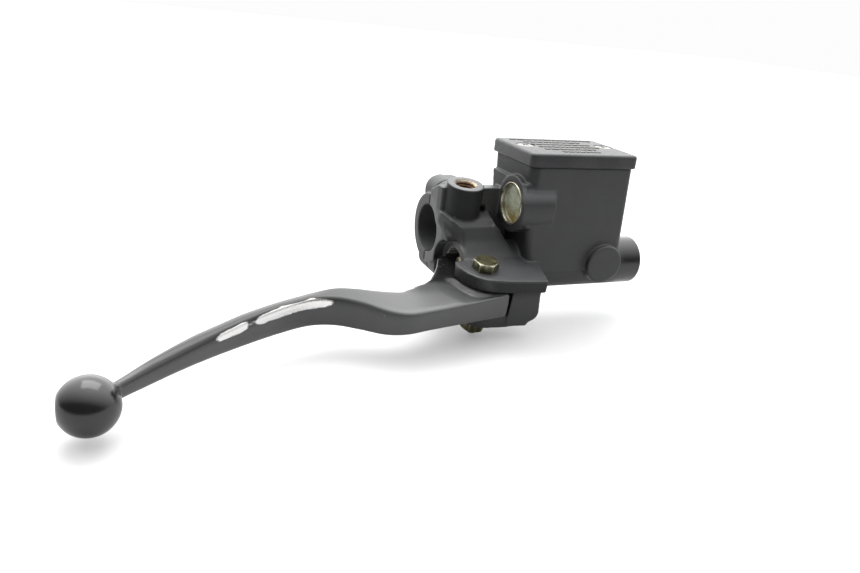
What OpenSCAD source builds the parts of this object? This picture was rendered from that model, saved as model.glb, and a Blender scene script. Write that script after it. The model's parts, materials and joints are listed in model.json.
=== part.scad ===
// Handlebar brake master cylinder with a square reservoir and a ball-ended lever.
// Origin: centre of the handlebar bore. +X runs along the handlebar towards the outlet,
// +Y points at the rider, +Z is up, square to the reservoir lid.

/* [Handlebar clamp] */
// Radius of the clamp bore, for a 22.2 mm handlebar
bar_r = 11.1; // [11:0.05:11.3]
// Width of the clamp along the handlebar
clamp_w = 22; // [20:1:24]
// Wall of the clamp ring
clamp_wall = 5.2; // [4.5:0.1:6]
// Gap between the two clamp halves
clamp_gap = 0.5; // [0.3:0.1:1]
// Distance between the two clamp bolts
clamp_pitch = 33; // [32:0.5:34]
// Distance from the bar's axis to the face under the clamp bolt heads
clamp_face = 11; // [10:0.5:12]

/* [Cylinder] */
// Radius of the hydraulic bore
bore_r = 6.35; // [6:0.05:6.5]
// Outer radius of the cylinder casting
tube_r = 11.4; // [11:0.1:11.6]
// Cylinder axis, measured from the handlebar axis towards the rider
tube_y = -22.5; // [-22.8:0.1:-22.2]
// Cylinder axis, measured up from the handlebar axis
tube_z = -11; // [-11.3:0.1:-10.7]
// Left end of the cylinder casting, where the piston comes out
mouth_x = -6; // [-6.5:0.5:-5.5]
// Right end of the cylinder casting, with the outlet port
outlet_x = 89; // [87:1:92]
// Left end of the piston at rest
piston_x = -3.8; // [-3.9:0.05:-3.8]

/* [Reservoir] */
// Left edge of the lid
lid_x = 17.5; // [17.3:0.1:17.8]
// Length of the lid along the handlebar
lid_w = 54.8; // [54.4:0.1:55.2]
// Front edge of the lid
lid_y = -37.4; // [-38:0.1:-37]
// Depth of the lid, front to back
lid_d = 37; // [36:0.1:37.5]
// Height of the top of the lid above the handlebar axis
lid_top = 43.3; // [43:0.1:44]
// Height of the lid with its skirt
lid_h = 6; // [5.5:0.1:6.5]
// Wall of the reservoir
wall = 2.6; // [2.4:0.1:3]
// Height of the reservoir's bottom ledge
res_bottom = -10.5; // [-11:0.1:-10]
// Distance between the two lid screws
screw_pitch = 41.4; // [41:0.1:42]

/* [Sight glass] */
// Radius of the sight glass ring
sight_r = 9.5; // [9:0.1:10]
// Sight glass axis, front to back
sight_y = -25.8; // [-26.5:0.1:-25]
// Sight glass axis, height
sight_z = 18.8; // [18:0.1:19.5]
// Outer radius of the sight glass boss
sight_boss_r = 12.6; // [12:0.1:13]

/* [Mirror boss] */
// Radius of the mirror boss
mirror_r = 8.2; // [7.8:0.1:8.6]
// Major radius of the mirror thread, M10
mirror_thread_r = 5; // [4.9:0.05:5.1]
// Depth of the mirror thread
mirror_depth = 14; // [12:1:15]

/* [Lever pivot] */
// Tilt of the lever plane about the handlebar's direction
tilt = 9; // [8:0.5:10]
// Thickness of the lever's hub
hub_h = 12; // [11.5:0.1:12.2]
// Side clearance between the hub and each ear
ear_gap = 0.3; // [0.2:0.05:0.4]
// Thickness of each ear
ear_h = 6; // [5.5:0.1:6.5]
// Radius of the pivot bolt's shank
bolt_r = 3; // [2.9:0.05:3.1]

/* [Lever] */
// Radius of the ball on the lever's end
ball_r = 9.75; // [9:0.05:10.5]
// Radius of the cam nose that pushes the piston
nose_r = 4.5; // [4:0.1:5]

/* [Hidden] */
$fn = 72;
eps = 0.01;

// Clamp
ring_r = bar_r + clamp_wall;
boss_half_w = 9.3;
boss_reach = 22.8;
boss_corner_r = 6.3;
m6_r = 3;
m6_hole_r = 3.3;
m6_head_r = 10 / sqrt(3);
washer_r = 5.8;
washer_h = 1.2;
clamp_bolt_depth = 7.5;

// Lever frame: its origin is the pivot axis at the lever's mid plane
pivot = [0.5, -38, -18];
hub_r = 6.6;
pocket_r = 7;
pocket_x = 1.6;
pocket_y = 26.4;
stop_x = 9.9;
ear_bottom = hub_h / 2 + ear_gap;
bush_r = 4.5;
shank_clear = 0.05;
pin_head_h = 4;
nut_h = 5.5;
nose_at = [-9, 15.6];
ball_at = [-154.2, -50, 0];

// Front and back edges of the blade in the lever frame, from the hub to the ball
blade_front = [
    [8, -12.4], [-12, -17], [-30, -20.6], [-41, -21.9], [-49, -18.8], [-57, -12], [-66, -7.2],
    [-76, -6.2], [-88, -10.4], [-103, -18], [-120, -28.5], [-135, -38.5], [-149, -48.5]
];
blade_back = [
    [-20, 8], [-26.8, 0.8], [-34, -2.6], [-40, -3.5], [-48, -1.8], [-57, 1.2], [-66, 2.7],
    [-77, 1], [-90, -3.6], [-104, -9.6], [-120, -19], [-135, -31], [-149, -43.5]
];
// Upper and lower edges of the blade seen from the front
blade_top = [[14, 6], [-40, 6], [-90, 5.6], [-115, 4.8], [-135, 3.8], [-151, 3.2]];
blade_low = [[14, -5.8], [-8, -4.6], [-30, -4.2], [-42, -4.8], [-56, -7.6], [-76, -8], [-95, -7.4],
    [-120, -5.4], [-151, -3.4]];

// Front edge of the upper ear in the lever frame, from left to right
ear_edge = [
    [-11.1, 10.3], [-11.3, 2.4], [-8.9, -4.2], [-4.6, -8.9], [0.7, -10.9], [11, -12.4], [24.5, -13.6]
];
stop_w = 14;
stop_flare = 1.8;
stop_corner_r = 4.5;
foot_w = 11.4;
foot_h = 2.3;

// Reservoir
rim_z = lid_top - lid_h;
rim_lip = 1.5;
lip_inset = 2.2;
res_x0 = lid_x + 1.4;
res_x1 = lid_x + lid_w - 0.8;
res_y0 = lid_y + 1.2;
res_y1 = lid_y + lid_d - 1;
draft_left = 4.2;
draft_right = -2;
step_z = 13.2;
step_y = -13;
corner_r = 2.8;
cavity_floor = 1.5;
screw_y = lid_y + 20.2;
screw_x = [25, 25 + screw_pitch];
screw_r = 2;
screw_head_r = 4;
screw_boss_r = 4;
flange_h = 1;
lid_plate = 2.4;

// Folding well in the middle of the rubber diaphragm
well_at = [31.2, res_y0 + 5];
well_size = [29.6, 25];
well_depth = 7;

// Mirror boss and sight glass
mirror_top = [-1.5, -16.2, 25.2];
sight_x = 16.7;
sight_hole_r = 6.6;

// Round boss on the front wall
end_boss_r = 9.15;
end_boss_x = 63.7;
end_boss_y = -39;
end_boss_z = -7.5;

// Ports and outlet
train_x = 1.6;
supply_x = 31;
comp_x = 43.2;
bore_end = 74.5;
outlet_r = 5;
outlet_depth = 14;

// Piston train, positions along X from the mouth inwards
boot_x = [1, 5];
clip_x = [6.2, 7.3];
stop_ring_x = [7.5, 8.6];
rear_land = 8.7;
boot_r = 8.2;
clip_bore_r = 7.2;
rod_r = 4;
piston_r = bore_r - 0.04;

// Return spring
spring_x = [43, 72.2];
spring_mean_r = 4.9;
spring_wire_r = 0.6;
spring_turns = 8;
spring_steps = 16;
spring_sides = 6;

// Places a shape in the lever's tilted frame
module lever_frame() {
    translate(pivot) rotate([tilt, 0, 0]) children();
}

// Places a shape on the mirror boss's axis, with Z zero at its top face
module on_mirror_axis() {
    translate(mirror_top) rotate([tilt, 0, 0]) children();
}

// Cylinder along X between two places
module rod_x(x0, x1, r, y = 0, z = 0) {
    translate([x0, y, z]) rotate([0, 90, 0]) cylinder(h = x1 - x0, r = r);
}

// Cylinder along Y between two places
module rod_y(y0, y1, r, x = 0, z = 0) {
    translate([x, y1, z]) rotate([90, 0, 0]) cylinder(h = y1 - y0, r = r);
}

// Shape on the cylinder's axis
module on_bore() {
    translate([0, tube_y, tube_z]) children();
}

// Shape on the cylinder's axis, with X measured as the piston train is laid out
module on_train() {
    translate([train_x, tube_y, tube_z]) children();
}

// Ring along X with an inner and an outer radius
module ring_x(x0, x1, r_in, r_out) {
    difference() {
        rod_x(x0, x1, r_out);
        rod_x(x0 - 1, x1 + 1, r_in);
    }
}

// Outline in the YZ plane pushed along X
module side_plate(x0, x1) {
    translate([x0, 0, 0]) rotate([90, 0, 90]) linear_extrude(x1 - x0) children();
}

// Outline in the XZ plane pushed along Y
module front_plate(y0, y1) {
    translate([0, y1, 0]) rotate([90, 0, 0]) linear_extrude(y1 - y0) children();
}

// Rectangle with round corners, given by two opposite corners
module round_box(a, b, r) {
    translate([a.x + r, a.y]) square([b.x - a.x - 2 * r, b.y - a.y]);
    translate([a.x, a.y + r]) square([b.x - a.x, b.y - a.y - 2 * r]);
    for (x = [a.x + r, b.x - r], y = [a.y + r, b.y - r]) translate([x, y]) circle(r);
}

// Reservoir outline, moved inwards by a distance
module rim_outline(inset, r) {
    round_box([res_x0 + inset, res_y0 + inset], [res_x1 - inset, res_y1 - inset], r);
}

// Catmull-Rom curve through a list of points
function curve_point(p, i, t) =
    let (n = len(p) - 1,
         a = p[max(i - 1, 0)],
         b = p[i],
         c = p[min(i + 1, n)],
         d = p[min(i + 2, n)])
    0.5 * (2 * b + (c - a) * t + (2 * a - 5 * b + 4 * c - d) * t * t
        + (3 * b - a - 3 * c + d) * t * t * t);
function curve(p, steps) = [
    for (i = [0:len(p) - 2], k = [0:steps - 1]) curve_point(p, i, k / steps),
    p[len(p) - 1]
];
function reversed(p) = [for (i = [len(p) - 1:-1:0]) p[i]];

// ---------- casting ----------

// Half of the clamp ring on one side of the parting plane
module half_ring(side) {
    intersection() {
        rod_x(-clamp_w / 2, clamp_w / 2, ring_r);
        translate([-50, side > 0 ? clamp_gap / 2 : -50, -50])
            cube([100, 50 - (side > 0 ? 0 : clamp_gap / 2), 100]);
    }
}

// Tapered reservoir box with a step at the back that clears the handlebar
module reservoir_shell() {
    difference() {
        hull() {
            translate([0, 0, rim_z - 0.1]) linear_extrude(0.1) rim_outline(0, corner_r, $fn = 32);
            translate([draft_left, 0, res_bottom]) linear_extrude(0.1)
                round_box([res_x0, res_y0], [res_x1 - draft_left - draft_right, res_y1], corner_r, $fn = 32);
        }
        translate([0, step_y, -40]) cube([100, 40, 40 + step_z]);
    }
    translate([0, 0, rim_z - 1]) linear_extrude(1 + rim_lip) rim_outline(lip_inset, 1.5);
}

module reservoir_cavity() {
    inner = wall + 0.4;
    translate([0, 0, step_z + wall]) linear_extrude(rim_z) rim_outline(inner, 2);
    translate([0, 0, cavity_floor]) linear_extrude(rim_z)
        round_box([res_x0 + draft_left + wall, res_y0 + inner], [res_x1 - inner, step_y - wall], 2);
}

// Ear plates, stop block and the body behind the pivot, in the lever frame
module ear_outline() {
    polygon(concat(curve(ear_edge, 4), [[28.6, 6.6], [28, 17], [-1.5, 17]]));
}

module low_ear_outline() {
    translate([2.5, 0.5]) circle(10.5);
    polygon([[2, -10], [stop_x + foot_w, -11.2], [stop_x + foot_w, 14], [2, 14], [-7.5, 2]]);
}

// Block that joins the two ears and stops the lever. It flares towards its round lower corner,
// which stands on the lower ear
module stop_block() {
    bottom = -ear_bottom - ear_h + foot_h;
    low_w = stop_w + stop_flare;
    translate([stop_x, 15.6, 0]) rotate([90, 0, 0]) linear_extrude(27) {
        polygon([
            [0, bottom + stop_corner_r], [low_w, bottom + stop_corner_r],
            [stop_w, ear_bottom + 1], [0, ear_bottom + 1]
        ]);
        translate([0, bottom]) square([low_w - stop_corner_r, stop_corner_r + 1]);
        translate([low_w - stop_corner_r, bottom + stop_corner_r]) circle(stop_corner_r);
    }
}

module ears() {
    lever_frame() {
        translate([0, 0, ear_bottom]) linear_extrude(ear_h) ear_outline();
        translate([0, 0, -ear_bottom - ear_h]) linear_extrude(ear_h) low_ear_outline();
        stop_block();
    }
}

// Room for the hub, the cam arm and the blade over the whole lever travel
module lever_pocket() {
    lever_frame() {
        translate([0, 0, -ear_bottom]) linear_extrude(2 * ear_bottom) {
            circle(pocket_r);
            translate([-60, -40]) square([60 + stop_x, 38]);
        }
        translate([-60, -2, -20]) cube([60 - 8, 2 + pocket_y, 20 + ear_bottom]);
        translate([-9, -2, -ear_bottom]) cube([9 + pocket_x, 2 + pocket_y, 2 * ear_bottom]);
        translate([-9, 11, -20]) cube([9 + pocket_x, pocket_y - 11, 20]);
    }
}

// Arm from the clamp to the upper ear: a shoulder in front, and a neck behind the mirror boss
module arm() {
    intersection() {
        side_plate(-13, 12)
            polygon([
                [-0.25, -9], [-0.25, 12], [-16, 12], [-21.5, 10], [-24.5, 7.5], [-27, 2], [-32, -5], [-31, -9]
            ]);
        front_plate(-40, 0)
            polygon([
                [-11.8, 12], [-12.4, 7], [-9.5, 1.5], [-6, 0.4], [-4, -4], [-4, -12], [12, -12], [12, 12]
            ]);
        linear_extrude(60, center = true)
            polygon([[-11, 0], [-12.4, -14], [-9, -21.5], [-5, -25], [-3, -40], [12, -40], [12, 0]]);
    }
    intersection() {
        side_plate(-13, 4)
            polygon([[-0.25, 8], [-0.25, 19], [-9, 23], [-16, 22.6], [-16, 8]]);
        linear_extrude(60)
            polygon([[-11, 0], [-11.8, -10], [-11.4, -13.5], [-8, -15.5], [3, -15.5], [3, 0]]);
    }
    side_plate(-11, 12)
        polygon([[-0.25, -9], [-0.25, 14], [-10, 14], [-23, 3], [-25, -9]]);
    intersection() {
        side_plate(11, 28)
            polygon([[-14, -9], [-14, 8.8], [-24.5, 8.8], [-27, 2], [-32, -5], [-31, -9]]);
        front_plate(-40, 0)
            polygon([[11, 8.8], [14, 6], [17, 1.5], [20, -2], [27, -5], [27, -12], [11, -12]]);
    }
    side_plate(2, 24)
        polygon([[-7, 12], [-7, 22.5], [-15.5, 23], [-15.5, 15]]);
    side_plate(10, 24)
        polygon([[-11, -9], [-11, 13], [-15.5, 16], [-15.5, -9]]);
    side_plate(-1, 14)
        polygon([[-0.25, -16.3], [-0.25, -9], [-16, -9], [-22, -11], [-22, -20], [-12, -21]]);
}

module mirror_boss() {
    on_mirror_axis() translate([0, 0, -17]) cylinder(h = 17, r = mirror_r);
}

// Raised pad on the reservoir's left wall around the sight glass
module sight_pad() {
    front_plate(res_y0 + 0.2, -3)
        polygon([[17.8, 29.7], [20.1, 10], [26, 10], [26, 29.7]]);
}

module body_bores() {
    rod_x(-60, 130, bar_r);
    rod_x(-60, -clamp_w / 2, bar_r + 0.6);
    rod_x(clamp_w / 2, 130, bar_r + 0.6);
    for (z = [-1, 1] * clamp_pitch / 2)
        rod_y(-clamp_bolt_depth - 1, 1, m6_r + shank_clear, 0, z);
    on_mirror_axis() translate([0, 0, -mirror_depth])
        cylinder(h = mirror_depth + 1, r = mirror_thread_r);
    lever_frame() translate([0, 0, -30]) cylinder(h = 60, r = bolt_r + shank_clear);
    on_bore() {
        rod_x(-20, mouth_x, tube_r + 0.4);
        rod_x(-20, boot_x[1] + train_x, boot_r);
        rod_x(0, rear_land + train_x, clip_bore_r);
        rod_x(clip_x[0] + train_x - 0.1, clip_x[1] + train_x + 0.1, clip_bore_r + 0.8);
        rod_x(0, bore_end, bore_r);
        rod_x(bore_end - 1, outlet_x, 2);
        rod_x(outlet_x - outlet_depth, outlet_x + 1, outlet_r);
    }
    on_train() {
        translate([supply_x, 0, 0]) cylinder(h = 20, r = 1.5);
        translate([comp_x, 0, 0]) cylinder(h = 20, r = 0.5);
    }
    for (x = screw_x) translate([x, screw_y, 24]) cylinder(h = 30, r = screw_r + shank_clear);
    on_sight() {
        rod_x(-1, 4.7, sight_r + 0.05);
        rod_x(0, 16, sight_hole_r);
    }
}

// Sight glass axis, with X zero at the boss's face
module on_sight() {
    translate([sight_x, sight_y, sight_z]) children();
}

// Round boss that carries the sight glass, cut away behind the reservoir's wall
module sight_boss() {
    on_sight() difference() {
        rod_x(0, 16, sight_boss_r);
        translate([8, -1.8, -20]) cube([20, 30, 40]);
    }
}

// Round boss on the reservoir's front wall, over the cylinder's end
module end_boss() {
    rod_y(end_boss_y, tube_y, end_boss_r, end_boss_x, end_boss_z);
}

module tube() {
    on_bore() rod_x(mouth_x, outlet_x, tube_r);
}

// The one casting is drawn as four solids that meet face to face: the clamp side with
// the mirror boss, the ears that hold the lever, the cylinder and the reservoir.
module main_body() color("#2b2c2e") {
    difference() {
        union() {
            half_ring(-1);
            clamp_bosses(-clamp_bolt_depth - 1.5, -clamp_gap / 2);
            arm();
            mirror_boss();
        }
        ears();
        body_bores();
        lever_pocket();
        tube();
        reservoir_shell();
        sight_pad();
        sight_boss();
    }
}

module lever_bracket() color("#2b2c2e") {
    difference() {
        ears();
        body_bores();
        lever_pocket();
        tube();
        reservoir_shell();
    }
}

module cylinder_body() color("#2b2c2e") {
    difference() {
        tube();
        body_bores();
        lever_pocket();
    }
}

module reservoir_body() color("#2b2c2e") {
    difference() {
        union() {
            difference() {
                reservoir_shell();
                reservoir_cavity();
            }
            for (x = screw_x) translate([x, screw_y, 20]) cylinder(h = rim_z - 20, r = screw_boss_r);
            sight_pad();
            sight_boss();
            end_boss();
        }
        body_bores();
        tube();
    }
}

// Wide rounded bosses for the clamp bolts, above and below the handlebar
module clamp_bosses(y0, y1) {
    for (m = [0, 1]) mirror([0, 0, m]) front_plate(y0, y1)
        round_box([-boss_half_w, 9], [boss_half_w, boss_reach], boss_corner_r);
}

// ---------- clamp ----------

module clamp_cap() color("#3a3b3d") {
    difference() {
        union() {
            half_ring(1);
            clamp_bosses(clamp_gap / 2, clamp_face);
        }
        rod_x(-60, 60, bar_r);
        for (z = [-1, 1] * clamp_pitch / 2) {
            rod_y(-1, clamp_face + 1, m6_hole_r, 0, z);
            rod_y(clamp_face, clamp_face + 10, washer_r + 0.4, 0, z);
        }
    }
}

// Hexagon-headed screw pointing along -Z, with its head's underside at the origin
module hex_screw(r, length, head_h) {
    translate([0, 0, -length]) cylinder(h = length + eps, r = r);
    cylinder(h = head_h, r = m6_head_r, $fn = 6);
}

module clamp_bolts() color("#6b6a4a") {
    for (z = [-1, 1] * clamp_pitch / 2)
        translate([0, clamp_face + washer_h, z]) rotate([-90, 0, 0])
            hex_screw(m6_r, clamp_face + washer_h + clamp_bolt_depth, 4);
}

module clamp_washers() color("#77765a") {
    for (z = [-1, 1] * clamp_pitch / 2) difference() {
        rod_y(clamp_face, clamp_face + washer_h, washer_r, 0, z);
        rod_y(clamp_face - 1, clamp_face + 3, m6_r + 0.2, 0, z);
    }
}

// ---------- reservoir lid and what it seals ----------

module reservoir_cover() color("#232426") {
    ceiling = lid_top - lid_plate;
    difference() {
        translate([0, 0, rim_z + 0.1]) linear_extrude(lid_h - 0.1)
            round_box([lid_x, lid_y], [lid_x + lid_w, lid_y + lid_d], corner_r);
        translate([0, 0, rim_z - 1]) linear_extrude(ceiling - rim_z + 1) rim_outline(lip_inset - 0.2, 1.7);
        for (x = screw_x) translate([x, screw_y, rim_z]) {
            cylinder(h = 20, r = screw_r + 0.25);
            translate([0, 0, lid_h - lid_plate + 0.2])
                cylinder(h = lid_plate - 0.2 + eps, r1 = screw_r + 0.25, r2 = screw_head_r + 0.3);
        }
    }
}

module cover_screws() color("#c9c9c4") {
    for (x = screw_x) translate([x, screw_y, lid_top]) difference() {
        union() {
            translate([0, 0, -2.2]) cylinder(h = 2, r1 = screw_r, r2 = screw_head_r);
            translate([0, 0, -0.2 - eps]) cylinder(h = 0.2, r = screw_head_r);
            translate([0, 0, -16]) cylinder(h = 14, r = screw_r);
        }
        for (a = [0, 90]) rotate(a) translate([-2.3, -0.45, -1.4]) cube([4.6, 0.9, 3]);
    }
}

// Clearance holes for the lid screws through a flange
module screw_holes(r) {
    for (x = screw_x) translate([x, screw_y, 0]) cylinder(h = 100, r = r);
}

module diaphragm_plate() color("#d8d6cc") {
    top = lid_top - lid_plate - 0.05;
    difference() {
        translate([0, 0, top - 1]) linear_extrude(1) rim_outline(lip_inset + 0.3, 1.5);
        translate(well_at) cube([well_size.x, well_size.y, 100]);
        screw_holes(2.4);
    }
}

module diaphragm() color("#1a1a1a") {
    base = rim_z + rim_lip;
    difference() {
        union() {
            translate([0, 0, base]) linear_extrude(flange_h) rim_outline(lip_inset + 0.3, 1.5);
            translate([well_at.x, well_at.y, base - well_depth])
                cube([well_size.x, well_size.y, well_depth + flange_h]);
        }
        translate([well_at.x + 1, well_at.y + 1, base - well_depth + 1])
            cube([well_size.x - 2, well_size.y - 2, well_depth + flange_h]);
        screw_holes(2.4);
    }
}

module port_baffle() color("#b9b7ad") {
    on_bore() translate([supply_x + 6, 0, cavity_floor - tube_z]) difference() {
        translate([-10, -6, 0]) cube([20, 12, 3]);
        translate([-9, -5, -1]) cube([18, 10, 3.2]);
        for (x = [-6, 0, 6]) translate([x, 0, 0]) cylinder(h = 9, r = 0.8);
    }
}

// ---------- sight glass ----------

module sight_ring() color("#b6ab83") {
    on_sight() ring_x(-0.2, 1.2, sight_r - 1, sight_r);
}

module sight_lens() color("#9aa38c") {
    on_sight() rod_x(1.3, 3.3, sight_r - 0.1);
}

module sight_seal() color("#161616") {
    on_sight() ring_x(3.4, 4.6, 7, sight_r - 0.1);
}

// ---------- lever ----------

module lever_blade() {
    intersection() {
        translate([0, 0, -20]) linear_extrude(40) {
            polygon(concat(curve(blade_front, 5), reversed(curve(blade_back, 5)), [[-4, 4.6], [8, -2]]));
        }
        translate([0, 50, 0]) rotate([90, 0, 0]) linear_extrude(130)
            polygon(concat(curve(blade_top, 4), reversed(curve(blade_low, 4))));
    }
}

// Arm behind the pivot whose round nose pushes the piston
module cam_arm() {
    translate([0, 0, -hub_h / 2]) linear_extrude(hub_h) {
        translate(nose_at) circle(nose_r);
        polygon([
            [-20, 6.8], [-12.4, 21.4], [-10.6, 23.4], [-7.2, 23.4], [-6, 21.5],
            nose_at, [-4.6, 14.8], [-4, 5], [-8, 0]
        ]);
    }
}

module brake_lever() color("#1d1e20") {
    lever_frame() difference() {
        union() {
            translate([0, 0, -hub_h / 2]) cylinder(h = hub_h, r = hub_r);
            lever_blade();
            cam_arm();
            translate(ball_at) sphere(ball_r);
        }
        translate([0, 0, -20]) cylinder(h = 40, r = bush_r);
    }
}

module lever_bush() color("#b08d57") {
    lever_frame() translate([0, 0, -hub_h / 2]) difference() {
        cylinder(h = hub_h, r = bush_r - eps);
        translate([0, 0, -1]) cylinder(h = hub_h + 2, r = bolt_r + shank_clear);
    }
}

module pivot_bolt() color("#7c7a4e") {
    lever_frame() translate([0, 0, ear_bottom + ear_h]) {
        rotate(8) hex_screw(bolt_r, 2 * (ear_bottom + ear_h) + nut_h + 2, pin_head_h);
    }
}

module pivot_nut() color("#6d6b45") {
    lever_frame() translate([0, 0, -ear_bottom - ear_h - nut_h]) difference() {
        rotate(20) cylinder(h = nut_h - eps, r = m6_head_r, $fn = 6);
        translate([0, 0, -1]) cylinder(h = nut_h + 2, r = bolt_r + shank_clear);
    }
}

// ---------- piston train ----------

module piston() color("#b9a05e") {
    on_bore() {
        rod_x(piston_x + 2, 15, rod_r);
        intersection() {
            translate([piston_x + 14, 0, 0]) sphere(14);
            rod_x(piston_x - 1, piston_x + 2 + eps, rod_r);
        }
    }
    on_train() {
        rod_x(rear_land, 12.2, piston_r);
        rod_x(12, 17, rod_r);
        rod_x(16.6, 18.2, piston_r);
        rod_x(18, 36, rod_r);
        rod_x(36, 38, piston_r);
        rod_x(37.9, 40.6, 2.5);
    }
}

module secondary_cup() color("#151515") {
    on_train() difference() {
        ring_x(12.3, 16.5, rod_r + 0.02, bore_r - 0.02);
        ring_x(14, 17, rod_r + 0.8, bore_r - 0.9);
    }
}

module primary_cup() color("#151515") {
    on_train() difference() {
        ring_x(38.1, 42.3, 2.52, bore_r - 0.02);
        rod_x(40.8, 43, bore_r - 1);
    }
}

module spring_seat() color("#9a9a96") {
    on_train() {
        rod_x(41, 42.3, 5.2);
        rod_x(42.2, 46, 3.6);
    }
}

// Wire of the return spring, wound as a helix about X
module return_spring() color("#8c8c88") {
    rings = spring_turns * spring_steps;
    length = spring_x[1] - spring_x[0];
    points = [
        for (i = [0:rings], k = [0:spring_sides - 1])
            let (a = 360 * i / spring_steps,
                 b = 360 * k / spring_sides,
                 r = spring_mean_r + spring_wire_r * cos(b))
            [spring_x[0] + length * i / rings + spring_wire_r * sin(b), r * cos(a), r * sin(a)]
    ];
    sides = [
        for (i = [0:rings - 1], k = [0:spring_sides - 1])
            let (n = (k + 1) % spring_sides)
            [i * spring_sides + k, i * spring_sides + n,
             (i + 1) * spring_sides + n, (i + 1) * spring_sides + k]
    ];
    first = [for (k = [spring_sides - 1:-1:0]) k];
    last = [for (k = [0:spring_sides - 1]) rings * spring_sides + k];
    on_train() polyhedron(points, concat([first], sides, [last]));
}

module stop_washer() color("#a9a9a5") {
    on_train() ring_x(stop_ring_x[0], stop_ring_x[1], rod_r + 0.2, clip_bore_r - 0.05);
}

module circlip() color("#5c5c5a") {
    on_train() difference() {
        ring_x(clip_x[0], clip_x[1], 5.6, clip_bore_r + 0.6);
        translate([0, -2, -12]) cube([20, 4, 8]);
    }
}

module dust_boot() color("#141414") {
    on_train() difference() {
        union() {
            ring_x(boot_x[0] + 2, boot_x[1] - 0.05, rod_r + 0.1, boot_r - 0.02);
            ring_x(boot_x[0], boot_x[0] + 2.2, rod_r + 0.1, 6.4);
        }
        ring_x(boot_x[1] - 1.4, boot_x[1] + 1, 5, 7);
    }
}

main_body();
lever_bracket();
cylinder_body();
reservoir_body();
clamp_cap();
clamp_bolts();
clamp_washers();
reservoir_cover();
cover_screws();
diaphragm_plate();
diaphragm();
port_baffle();
sight_ring();
sight_lens();
sight_seal();
brake_lever();
lever_bush();
pivot_bolt();
pivot_nut();
piston();
secondary_cup();
primary_cup();
spring_seat();
return_spring();
stop_washer();
circlip();
dust_boot();
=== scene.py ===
"""Looks of a handlebar brake master cylinder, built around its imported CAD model.

Lengths are in millimetres until mesh_from() or another helper scales them to metres.
"""

import json
import math

import bmesh
import bpy
import numpy as np
from mathutils import Matrix, Vector


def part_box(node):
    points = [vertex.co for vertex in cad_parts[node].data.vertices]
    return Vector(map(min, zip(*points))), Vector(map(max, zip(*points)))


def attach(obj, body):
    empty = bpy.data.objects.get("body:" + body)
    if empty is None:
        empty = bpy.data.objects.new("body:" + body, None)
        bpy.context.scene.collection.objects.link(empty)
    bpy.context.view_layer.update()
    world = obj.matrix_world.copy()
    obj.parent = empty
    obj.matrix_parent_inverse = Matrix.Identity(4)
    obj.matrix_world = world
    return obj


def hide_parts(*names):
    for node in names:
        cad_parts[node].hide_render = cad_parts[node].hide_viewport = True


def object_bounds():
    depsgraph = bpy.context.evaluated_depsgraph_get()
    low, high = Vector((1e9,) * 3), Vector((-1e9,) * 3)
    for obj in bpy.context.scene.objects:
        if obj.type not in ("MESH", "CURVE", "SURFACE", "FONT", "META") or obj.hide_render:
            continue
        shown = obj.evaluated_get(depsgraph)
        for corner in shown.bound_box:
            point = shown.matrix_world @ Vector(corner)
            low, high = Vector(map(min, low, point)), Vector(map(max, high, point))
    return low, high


MM = 0.001
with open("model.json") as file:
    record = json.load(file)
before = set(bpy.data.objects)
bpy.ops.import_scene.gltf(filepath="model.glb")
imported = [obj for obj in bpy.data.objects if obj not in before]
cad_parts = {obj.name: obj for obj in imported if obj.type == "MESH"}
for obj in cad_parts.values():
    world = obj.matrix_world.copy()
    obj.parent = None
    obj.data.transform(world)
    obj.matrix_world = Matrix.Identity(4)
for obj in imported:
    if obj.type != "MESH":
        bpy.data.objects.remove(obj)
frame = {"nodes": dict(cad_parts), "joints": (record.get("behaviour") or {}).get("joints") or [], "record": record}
cad_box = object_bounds()
nodes = frame["nodes"]
joints = {joint["name"]: joint for joint in frame["joints"]}
mounts = {mount["name"]: mount for mount in frame["record"]["mounts"]}

# Lever frame: Z along the pivot, X towards the outlet
PIVOT = Vector(joints["lever_pivot"]["pos_m"]) / MM
LEVER_UP = -Vector(joints["lever_pivot"]["axis"])
LEVER_TURN = Vector((0, 0, 1)).rotation_difference(LEVER_UP)
LEVER_FRAME = Matrix.Translation(PIVOT) @ LEVER_TURN.to_matrix().to_4x4()

# Voxel sizes of the remeshed castings, and how often their soft junctions are evened out
CAST_VOXEL = 0.42
LEVER_VOXEL = 0.4
BLEND_ROUNDS = 24

# Steepest angle between faces that still shade as one: on castings, turned parts and hexagons
CAST_ANGLE = math.radians(60)
SMOOTH_ANGLE = math.radians(35)
HEX_ANGLE = math.radians(14)


# ---------- mesh helpers ----------


def piece(name, mesh, body, material, replaces=()):
    """Links a mesh as a piece that rides on a body and takes a finish."""
    obj = bpy.data.objects.new(name, mesh)
    bpy.context.scene.collection.objects.link(obj)
    obj.data.materials.clear()
    obj.data.materials.append(material)
    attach(obj, body)
    if replaces:
        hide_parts(*replaces)


def box_mm(node):
    """Lowest and highest corner of a CAD node in millimetres."""
    low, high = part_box(node)
    return low / MM, high / MM


def mesh_from(name, points, faces):
    """Mesh from points in millimetres."""
    mesh = bpy.data.meshes.new(name)
    mesh.from_pydata([tuple(c * MM for c in p) for p in points], [], faces)
    mesh.validate()
    return mesh


def temp_object(mesh):
    obj = bpy.data.objects.new("temp", mesh)
    bpy.context.scene.collection.objects.link(obj)
    return obj


def applied(obj):
    """The object's mesh with its modifiers, and the object removed."""
    graph = bpy.context.evaluated_depsgraph_get()
    mesh = bpy.data.meshes.new_from_object(obj.evaluated_get(graph))
    bpy.data.objects.remove(obj)
    return mesh


def joined(meshes):
    """One mesh that holds several."""
    bm = bmesh.new()
    for mesh in meshes:
        bm.from_mesh(mesh)
    out = bpy.data.meshes.new("joined")
    bm.to_mesh(out)
    bm.free()
    return out


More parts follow.
